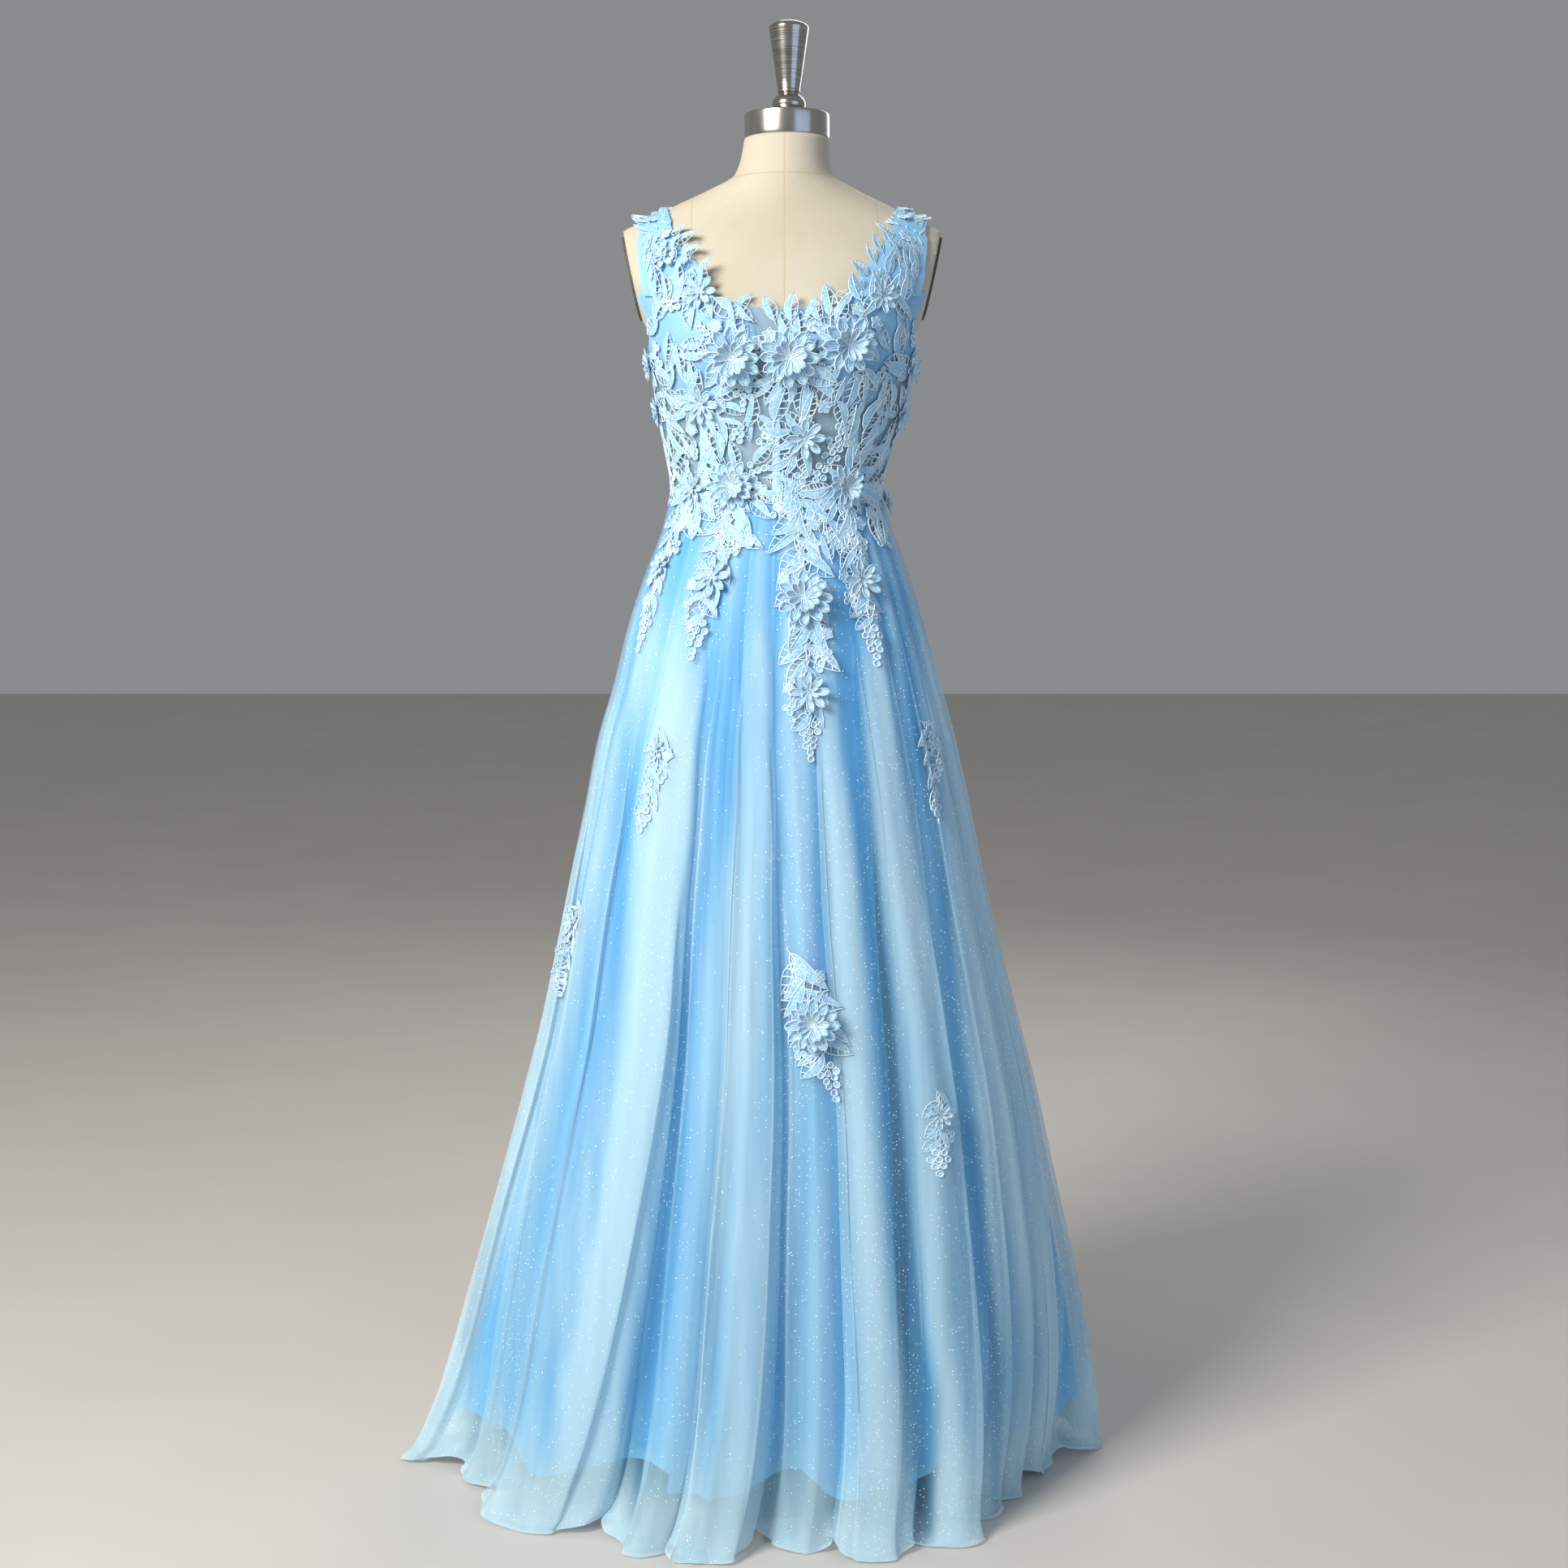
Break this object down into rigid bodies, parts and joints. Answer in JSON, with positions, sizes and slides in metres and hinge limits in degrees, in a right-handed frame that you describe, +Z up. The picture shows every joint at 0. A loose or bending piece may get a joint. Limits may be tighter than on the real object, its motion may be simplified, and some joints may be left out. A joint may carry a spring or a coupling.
{
  "type": "a-line gown on a dress form",
  "caption": "Floor-length a-line tulle gown with lace, stand-up flowers and wide shoulder straps, worn by a limbless linen dress form with a neck cap and finial on a pole and flat base.",
  "frame": {"origin": "centre of the underside of the dress form's flat base, on the floor under the form's pole", "axes": "+Z up along the form's pole towards the neck cap, -Y towards the viewer of the gown's front, +X towards the right-hand side of the picture (the wearer's left)"},
  "size_m": [0.8659, 0.5972, 1.7005],
  "materials": {
    "tulle": "sheer with fine glitter",
    "lining": "soft satin",
    "lace": "matt corded lace",
    "cup": "matt",
    "linen": "matt linen over a smooth shell",
    "steel": "brushed",
    "dark_steel": "satin dark grey"
  },
  "bodies": {
    "root": {"bodice_back_left": "tulle", "bodice_back_right": "tulle", "bodice_front": "tulle", "boning_channel_centre": "tulle", "boning_channel_left": "tulle", "boning_channel_right": "tulle", "cup_left": "cup", "cup_right": "cup", "flower_back_left": "lace", "flower_back_right": "lace", "flower_back_waist_left": "lace", "flower_back_waist_right": "lace", "flower_bust_centre": "lace", "flower_bust_left": "lace", "flower_bust_right": "lace", "flower_centre_lower": "lace", "flower_neck_left": "lace", "flower_neck_right": "lace", "flower_ribs_centre": "lace", "flower_ribs_left": "lace", "flower_ribs_right": "lace", "flower_side_left": "lace", "flower_strap_left": "lace", "flower_trail_centre_lower": "lace", "flower_trail_centre_upper": "lace", "flower_trail_left": "lace", "flower_trail_left_outer": "lace", "flower_trail_right": "lace", "flower_underarm_left": "lace", "flower_underarm_right": "lace", "flower_waist_left": "lace", "flower_waist_outer_left": "lace", "flower_waist_right": "lace", "flower_waist_side_right": "lace", "form_armhole_plate_left": "dark_steel", "form_armhole_plate_right": "dark_steel", "form_base": "dark_steel", "form_finial": "steel", "form_neck_cap": "steel", "form_pole": "steel", "form_torso": "linen", "skirt_lining_back": "lining", "skirt_lining_front": "lining", "skirt_net_back": "tulle", "skirt_net_front": "tulle", "spray_back_left": "lace", "spray_back_right": "lace", "spray_centre_lower": "lace", "spray_left_lower": "lace", "spray_left_upper": "lace", "spray_right_lower": "lace", "spray_right_upper": "lace", "strap_left": "lace", "strap_right": "lace", "trail_back_left": "lace", "trail_back_right": "lace", "trail_centre": "lace", "trail_left": "lace", "trail_left_outer": "lace", "trail_right": "lace"}
  },
  "joints": []
}
